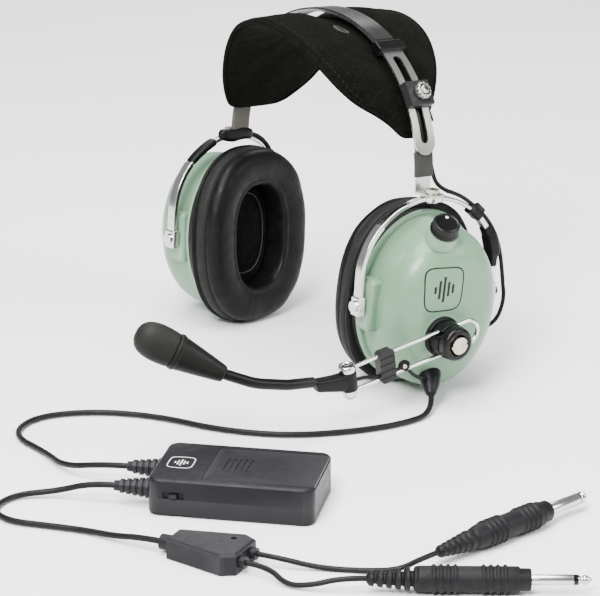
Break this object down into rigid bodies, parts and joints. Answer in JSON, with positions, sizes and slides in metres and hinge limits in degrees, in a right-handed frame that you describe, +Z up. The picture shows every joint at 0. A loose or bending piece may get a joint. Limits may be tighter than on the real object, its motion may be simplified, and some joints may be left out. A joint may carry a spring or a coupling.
{
  "type": "aviation headset",
  "caption": "Over-ear headset with a padded headband, ear cups on yokes, a boom microphone, an inline battery control box and two plugs on a split cord.",
  "frame": {"origin": "on the floor, midway between the two ear cups", "axes": "+Z up, +X to the wearer's left, which is the microphone side, -Y to the front"},
  "size_m": [0.4785, 0.3634, 0.2047],
  "materials": {
    "sage_plastic": "satin sage green moulding",
    "seal_skin": "soft black cushion skin",
    "foam": "black open foam",
    "black_plastic": "matt black",
    "gloss_black": "gloss black",
    "chrome_metal": "bright plated",
    "steel": "bright spring steel",
    "grey_plastic": "dark grey sleeve",
    "pad_cloth": "black speckled cloth",
    "cord_rubber": "black jacket",
    "boom_black": "dark grey matt",
    "box_plastic": "dark charcoal, fine texture",
    "cell_jacket": "printed cell jacket, plain",
    "plug_metal": "nickel plate"
  },
  "bodies": {
    "left_yoke": {"left_yoke": "chrome_metal", "left_swivel_screw": "chrome_metal", "left_yoke_sleeve": "black_plastic", "left_cable_clip": "black_plastic", "left_crossover_cable": "cord_rubber", "main_cable": "cord_rubber", "second_cable": "cord_rubber", "phones_lead": "cord_rubber", "microphone_lead": "cord_rubber", "box_lower_shell": "box_plastic", "box_upper_shell": "box_plastic", "battery_cell_one": "cell_jacket", "battery_cell_two": "cell_jacket", "box_relief_upper": "cord_rubber", "box_relief_lower": "cord_rubber", "cable_splitter": "black_plastic", "plug_phones_handle": "black_plastic", "plug_phones_finger": "plug_metal", "plug_microphone_handle": "black_plastic", "plug_microphone_finger": "plug_metal"},
    "left_cup": {"left_ear_seal": "seal_skin", "left_liner_foam": "foam", "left_baffle_plate": "black_plastic", "left_speaker_driver": "steel", "left_dome_shell": "sage_plastic", "main_strain_relief": "cord_rubber", "boom_pivot_screw": "chrome_metal"},
    "volume_knob": {"volume_knob": "black_plastic"},
    "boom_hub": {"boom_pivot_hub": "black_plastic"},
    "boom_arm": {"boom_wires": "chrome_metal", "boom_slider_clip": "black_plastic", "mic_bracket_screw": "chrome_metal"},
    "mic_arm": {"mic_bracket": "boom_black", "gooseneck": "boom_black", "mic_boot": "boom_black", "mic_head": "boom_black"},
    "boom_clamp_knob": {"boom_clamp_knob": "black_plastic"},
    "left_strap": {"left_inner_strap": "steel", "left_strap_sleeve": "grey_plastic", "left_clamp_block": "black_plastic"},
    "left_clamp_nut": {"left_clamp_nut": "chrome_metal"},
    "headband": {"slotted_head_strap": "steel", "crown_cover": "gloss_black", "left_keeper": "black_plastic", "right_keeper": "black_plastic", "head_pad": "pad_cloth"},
    "right_strap": {"right_inner_strap": "steel", "right_strap_sleeve": "grey_plastic", "right_clamp_block": "black_plastic"},
    "right_clamp_nut": {"right_clamp_nut": "chrome_metal"},
    "right_yoke": {"right_yoke": "chrome_metal", "right_swivel_screw": "chrome_metal", "right_yoke_sleeve": "black_plastic"},
    "right_cup": {"right_ear_seal": "seal_skin", "right_liner_foam": "foam", "right_baffle_plate": "black_plastic", "right_speaker_driver": "steel", "right_dome_shell": "sage_plastic"},
    "battery_door": {"battery_door": "box_plastic"},
    "power_switch": {"power_switch": "black_plastic"}
  },
  "joints": [
    {"name": "left_cup_tilt", "type": "hinge", "parent": "left_yoke", "child": "left_cup", "pos_m": [0.091, 0, 0.0542], "axis": [0.1132, 0.9905, -0.078], "range_deg": [-8, 8]},
    {"name": "volume_turn", "type": "hinge", "parent": "left_cup", "child": "volume_knob", "pos_m": [0.11521, -0.00838, 0.09983], "axis": [0.5056, -0.1312, 0.8527], "range_deg": [0, 270]},
    {"name": "boom_raise", "type": "hinge", "parent": "left_cup", "child": "boom_hub", "pos_m": [0.12339, -0.01291, 0.03979], "axis": [-0.9912, 0.1181, 0.0607], "range_deg": [-8, 85]},
    {"name": "boom_extend", "type": "slide", "parent": "boom_hub", "child": "boom_arm", "axis": [-0.1266, -0.9781, -0.1651], "range_m": [-0.025, 0.004]},
    {"name": "mic_swing", "type": "hinge", "parent": "boom_arm", "child": "mic_arm", "pos_m": [0.11676, -0.07966, 0.02845], "axis": [0.0399, -0.1713, 0.9844], "range_deg": [-40, 20]},
    {"name": "boom_clamp_turn", "type": "hinge", "parent": "boom_hub", "child": "boom_clamp_knob", "pos_m": [0.13033, -0.01374, 0.03937], "axis": [0.9912, -0.1181, -0.0607], "range_deg": [0, 300]},
    {"name": "left_strap_swivel", "type": "hinge", "parent": "left_yoke", "child": "left_strap", "pos_m": [0.091, 0.00449, 0.11122], "axis": [0, 0.0785, 0.9969], "range_deg": [-15, 15]},
    {"name": "left_strap_adjust", "type": "hinge", "parent": "left_strap", "child": "headband", "pos_m": [0, 0.00502, 0.118], "axis": [0, -0.9969, 0.0785], "range_deg": [-9, 13]},
    {"name": "left_clamp_turn", "type": "hinge", "parent": "left_strap", "child": "left_clamp_nut", "pos_m": [0.07461, 0.00897, 0.16817], "axis": [0.829, 0.0439, 0.5575], "range_deg": [0, 330]},
    {"name": "right_strap_adjust", "type": "hinge", "parent": "headband", "child": "right_strap", "pos_m": [0, 0.00502, 0.118], "axis": [0, -0.9969, 0.0785], "range_deg": [-9, 13]},
    {"name": "right_clamp_turn", "type": "hinge", "parent": "right_strap", "child": "right_clamp_nut", "pos_m": [-0.07461, 0.00897, 0.16817], "axis": [-0.829, 0.0439, 0.5575], "range_deg": [0, 330]},
    {"name": "right_strap_swivel", "type": "hinge", "parent": "right_strap", "child": "right_yoke", "pos_m": [-0.091, 0.00449, 0.11122], "axis": [0, 0.0785, 0.9969], "range_deg": [-15, 15]},
    {"name": "right_cup_tilt", "type": "hinge", "parent": "right_yoke", "child": "right_cup", "pos_m": [-0.091, 0, 0.0542], "axis": [0.1132, -0.9905, 0.078], "range_deg": [-8, 8]},
    {"name": "battery_door_slide", "type": "slide", "parent": "left_yoke", "child": "battery_door", "axis": [0.7771, 0.6293, 0], "range_m": [0, 0.058]},
    {"name": "power_switch_slide", "type": "slide", "parent": "left_yoke", "child": "power_switch", "axis": [0.7771, 0.6293, 0], "range_m": [-0.001, 0.001]}
  ]
}
